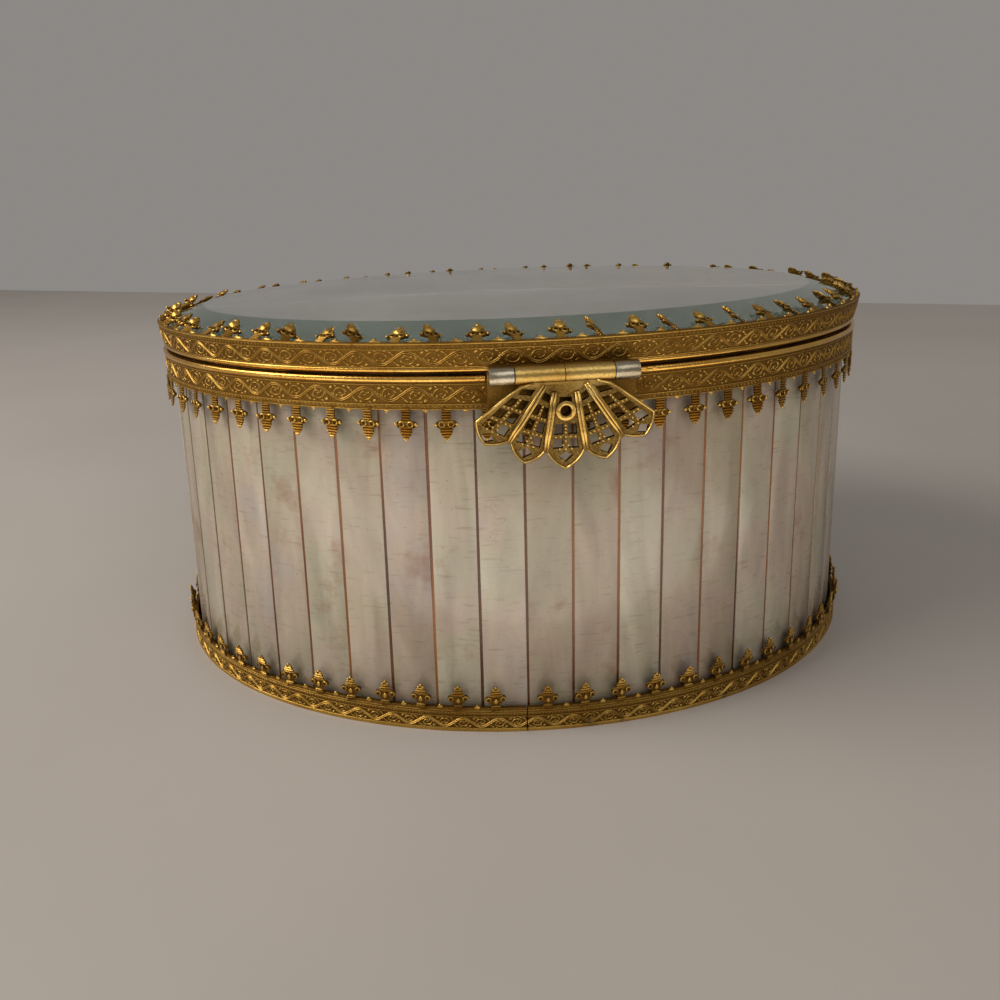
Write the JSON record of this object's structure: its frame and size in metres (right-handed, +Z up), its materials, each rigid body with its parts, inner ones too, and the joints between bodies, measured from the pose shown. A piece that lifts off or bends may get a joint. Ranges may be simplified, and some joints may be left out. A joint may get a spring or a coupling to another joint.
{
  "type": "oval jewelry box",
  "caption": "Oval jewelry box: upright mother-of-pearl strips between stamped gilt bands, bevelled glass lid hinged at the back, pierced fan hasp in front.",
  "frame": {"origin": "middle of the oval on the underside of the box, lid closed", "axes": "+X along the oval's length, to the right as seen from the front; the front with its hasp faces -Y and the lid hinge +Y; +Z up"},
  "size_m": [0.1314, 0.1058, 0.0634],
  "materials": {
    "mother_of_pearl": "polished shell, iridescent",
    "amber_cement": "dull amber resin",
    "gilt_brass": "stamped, gilt, worn and tarnished",
    "dark_brass": "dull, tarnished",
    "worn_silvered_brass": "gilding worn to a grey metal",
    "steel_wire": "drawn wire, dull",
    "bevelled_glass": "clear, polished bevel",
    "plain_board": "bare",
    "underside_cloth": "glued cloth",
    "cream_silk": "silk over wadding, aged"
  },
  "bodies": {
    "base": {"pearl_strips_front": "mother_of_pearl", "pearl_strips_back": "mother_of_pearl", "pearl_strips_left": "mother_of_pearl", "pearl_strips_right": "mother_of_pearl", "seam_cement": "amber_cement", "upper_band": "gilt_brass", "lower_band": "gilt_brass", "mouth_wire": "gilt_brass", "mouth_ring": "dark_brass", "foot_hoop": "dark_brass", "bottom_board": "plain_board", "underside_cover": "underside_cloth", "floor_pad": "cream_silk", "catch_plate": "gilt_brass", "catch_stud": "dark_brass", "hinge_base_leaf": "gilt_brass", "hinge_pin": "steel_wire"},
    "lid": {"lid_band": "gilt_brass", "lid_wire": "gilt_brass", "lid_glass": "bevelled_glass", "glass_seat": "dark_brass", "hinge_lid_leaf": "gilt_brass", "hasp_knuckle_left": "worn_silvered_brass", "hasp_knuckle_right": "worn_silvered_brass", "hasp_pin": "steel_wire"},
    "hasp": {"fan_hasp": "gilt_brass", "hasp_socket": "gilt_brass"}
  },
  "joints": [
    {"name": "lid_hinge", "type": "hinge", "parent": "base", "child": "lid", "pos_m": [0, 0.05156, 0.05675], "axis": [-1, 0, 0], "range_deg": [0, 100]},
    {"name": "hasp_hinge", "type": "hinge", "parent": "lid", "child": "hasp", "pos_m": [0, -0.05156, 0.05675], "axis": [-1, 0, 0], "range_deg": [0, 160]}
  ]
}
